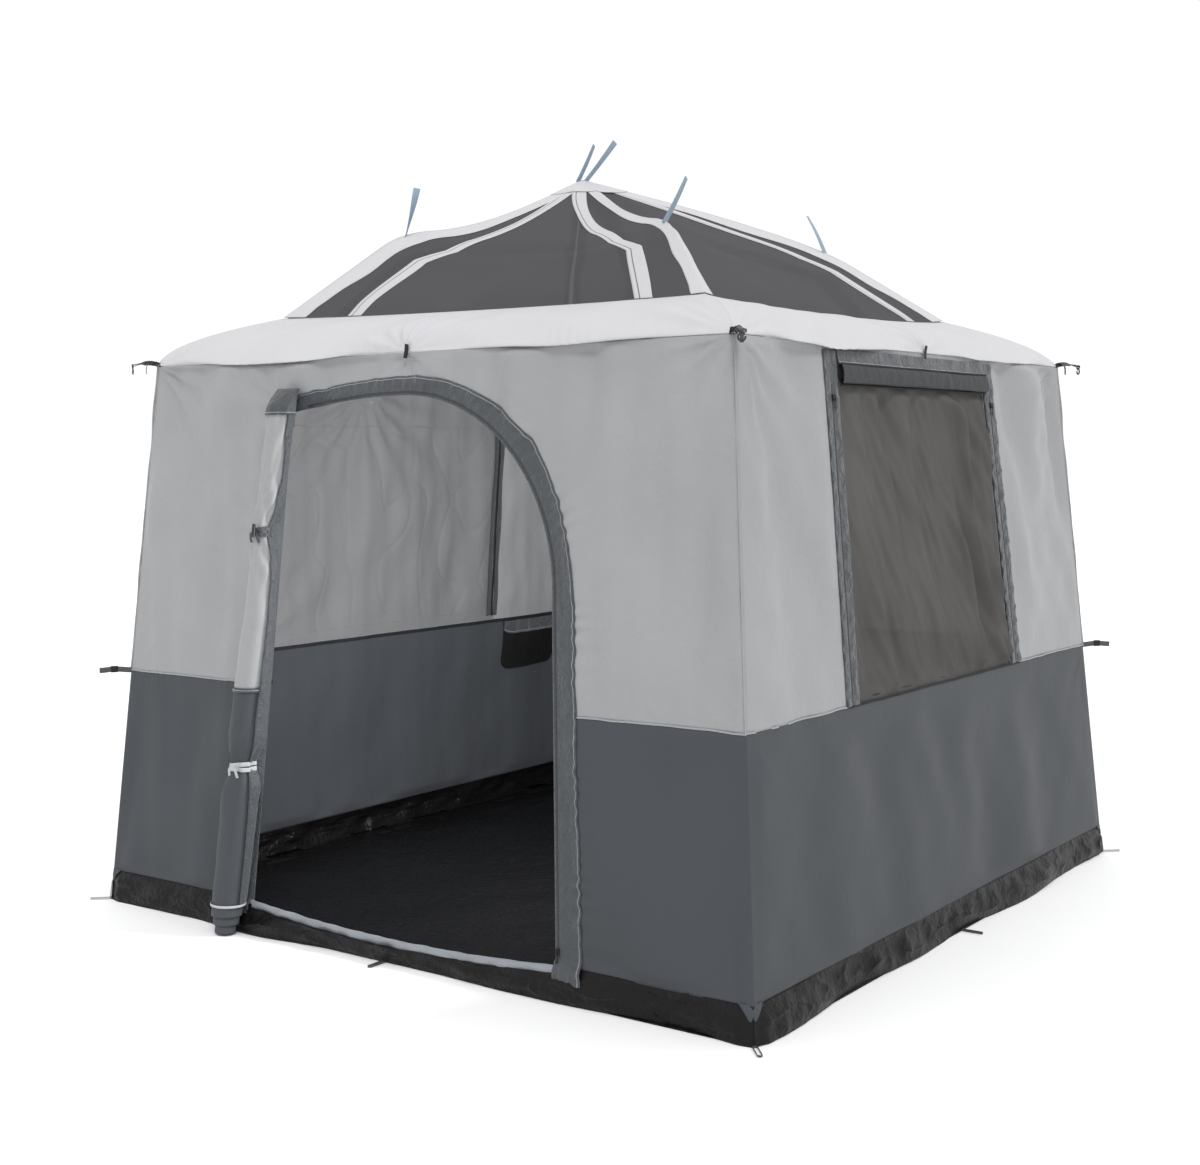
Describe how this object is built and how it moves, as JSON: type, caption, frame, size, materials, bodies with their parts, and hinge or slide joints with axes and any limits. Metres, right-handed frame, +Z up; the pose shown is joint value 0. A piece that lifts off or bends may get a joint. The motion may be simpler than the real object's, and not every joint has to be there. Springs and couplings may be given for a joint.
{
  "type": "cabin tent",
  "caption": "Square hanging cabin tent with a mesh hip roof, arched door with rolled door panel, net window, closed window and tub floor.",
  "frame": {"origin": "on the ground, at the middle of the square floor sheet", "axes": "+Z up, the door wall faces -Y, the wall with the rolled-up window cover faces +X"},
  "size_m": [2.8986, 2.9549, 2.7919],
  "materials": {
    "tub_cloth": "matt woven",
    "light_cloth": "matt woven",
    "dark_cloth": "matt woven",
    "roof_band_cloth": "matt woven",
    "roof_mesh": "matt woven",
    "rib_tape": "matt woven",
    "trim_cloth": "matt woven",
    "sill_cloth": "matt woven",
    "window_net": "matt woven",
    "zip_coil": "satin",
    "binding_tape": "matt woven",
    "zip_metal": "satin",
    "black_plastic": "satin",
    "dark_webbing": "matt woven",
    "light_webbing": "matt woven"
  },
  "bodies": {
    "tent": {"back_wall_lower": "dark_cloth", "back_wall_upper": "light_cloth", "corner_stake_loops": "light_webbing", "door_roll_lower": "dark_cloth", "door_roll_upper": "light_cloth", "door_sill": "sill_cloth", "door_ties": "dark_webbing", "door_trim": "trim_cloth", "door_zip": "zip_coil", "eave_straps": "dark_webbing", "floor_sheet": "tub_cloth", "front_wall_lower_left": "dark_cloth", "front_wall_lower_right": "dark_cloth", "front_wall_upper": "light_cloth", "hanging_straps": "light_webbing", "hip_tapes": "roof_band_cloth", "left_wall_lower": "dark_cloth", "left_wall_upper": "light_cloth", "left_window_cover": "light_cloth", "left_window_net": "window_net", "leg_straps": "dark_webbing", "mid_eave_tabs": "dark_webbing", "peak_patch": "roof_band_cloth", "rib_tapes": "rib_tape", "right_wall_lower": "dark_cloth", "right_wall_upper": "light_cloth", "right_window_cover_roll": "light_cloth", "right_window_net": "window_net", "right_window_trims": "trim_cloth", "roof_band_back": "roof_band_cloth", "roof_band_front": "roof_band_cloth", "roof_band_left": "roof_band_cloth", "roof_band_right": "roof_band_cloth", "roof_mesh_back": "roof_mesh", "roof_mesh_front": "roof_mesh", "roof_mesh_left": "roof_mesh", "roof_mesh_right": "roof_mesh", "seam_binding": "binding_tape", "side_stake_loops": "dark_webbing", "tub_wall_back": "tub_cloth", "tub_wall_front": "tub_cloth", "tub_wall_left": "tub_cloth", "tub_wall_right": "tub_cloth", "wall_pocket": "window_net", "window_zips": "zip_coil"},
    "door_slider_body": {"door_slider": "zip_metal"},
    "door_pull_body": {"door_pull": "zip_metal"},
    "right_window_front_slider_body": {"right_window_front_slider": "zip_metal"},
    "right_window_front_pull_body": {"right_window_front_pull": "zip_metal"},
    "right_window_rear_slider_body": {"right_window_rear_slider": "zip_metal"},
    "right_window_rear_pull_body": {"right_window_rear_pull": "zip_metal"},
    "left_window_rear_slider_body": {"left_window_rear_slider": "zip_metal"},
    "left_window_rear_pull_body": {"left_window_rear_pull": "zip_metal"},
    "left_window_front_slider_body": {"left_window_front_slider": "zip_metal"},
    "left_window_front_pull_body": {"left_window_front_pull": "zip_metal"},
    "front_left_clip_body": {"eave_clip_front_left": "black_plastic"},
    "front_right_clip_body": {"eave_clip_front_right": "black_plastic"},
    "rear_right_clip_body": {"eave_clip_rear_right": "black_plastic"},
    "rear_left_clip_body": {"eave_clip_rear_left": "black_plastic"},
    "toggle_body": {"door_toggle": "black_plastic"}
  },
  "joints": [
    {"name": "door_slide", "type": "slide", "parent": "tent", "child": "door_slider_body", "axis": [-0.0613, 0.0791, 0.995], "range_m": [0, 0.9974]},
    {"name": "door_pull_lift", "type": "hinge", "parent": "door_slider_body", "child": "door_pull_body", "pos_m": [0.69578, -1.37416, 0.14682], "axis": [-0.9981, -0.0049, -0.0611], "range_deg": [0, 120]},
    {"name": "right_window_front_slide", "type": "slide", "parent": "tent", "child": "right_window_front_slider_body", "axis": [0.0792, 0, -0.9969], "range_m": [0, 0.9011]},
    {"name": "right_window_front_pull_lift", "type": "hinge", "parent": "right_window_front_slider_body", "child": "right_window_front_pull_body", "pos_m": [1.24409, -0.6725, 1.78313], "axis": [0, -1, 0], "range_deg": [0, 120]},
    {"name": "right_window_rear_slide", "type": "slide", "parent": "tent", "child": "right_window_rear_slider_body", "axis": [0.0789, 0.0944, -0.9924], "range_m": [0, 0.9055]},
    {"name": "right_window_rear_pull_lift", "type": "hinge", "parent": "right_window_rear_slider_body", "child": "right_window_rear_pull_body", "pos_m": [1.24408, 0.52561, 1.78333], "axis": [0.0075, -0.9955, -0.0941], "range_deg": [0, 120]},
    {"name": "left_window_rear_slide", "type": "slide", "parent": "tent", "child": "left_window_rear_slider_body", "axis": [0.0792, 0, 0.9969], "range_m": [0, 0.7606]},
    {"name": "left_window_rear_pull_lift", "type": "hinge", "parent": "left_window_rear_slider_body", "child": "left_window_rear_pull_body", "pos_m": [-1.3108, 0.745, 0.94388], "axis": [0, 1, 0], "range_deg": [0, 120]},
    {"name": "left_window_front_slide", "type": "slide", "parent": "tent", "child": "left_window_front_slider_body", "axis": [0.0792, 0, 0.9969], "range_m": [0, 0.7606]},
    {"name": "left_window_front_pull_lift", "type": "hinge", "parent": "left_window_front_slider_body", "child": "left_window_front_pull_body", "pos_m": [-1.3108, -0.745, 0.94388], "axis": [0, 1, 0], "range_deg": [0, 120]},
    {"name": "eave_clip_front_left_swing", "type": "hinge", "parent": "tent", "child": "front_left_clip_body", "pos_m": [-1.28244, -1.28244, 1.955], "axis": [-0.7071, 0.7071, 0], "range_deg": [-45, 110]},
    {"name": "eave_clip_front_right_swing", "type": "hinge", "parent": "tent", "child": "front_right_clip_body", "pos_m": [1.28244, -1.28244, 1.955], "axis": [-0.7071, -0.7071, 0], "range_deg": [-45, 110]},
    {"name": "eave_clip_rear_right_swing", "type": "hinge", "parent": "tent", "child": "rear_right_clip_body", "pos_m": [1.28244, 1.28244, 1.955], "axis": [0.7071, -0.7071, 0], "range_deg": [-45, 110]},
    {"name": "eave_clip_rear_left_swing", "type": "hinge", "parent": "tent", "child": "rear_left_clip_body", "pos_m": [-1.28244, 1.28244, 1.955], "axis": [0.7071, 0.7071, 0], "range_deg": [-45, 110]},
    {"name": "door_toggle_turn", "type": "hinge", "parent": "tent", "child": "toggle_body", "pos_m": [-0.53694, -1.40093, 1.37701], "axis": [0, -0.9969, 0.0792], "range_deg": [-80, 80]}
  ]
}
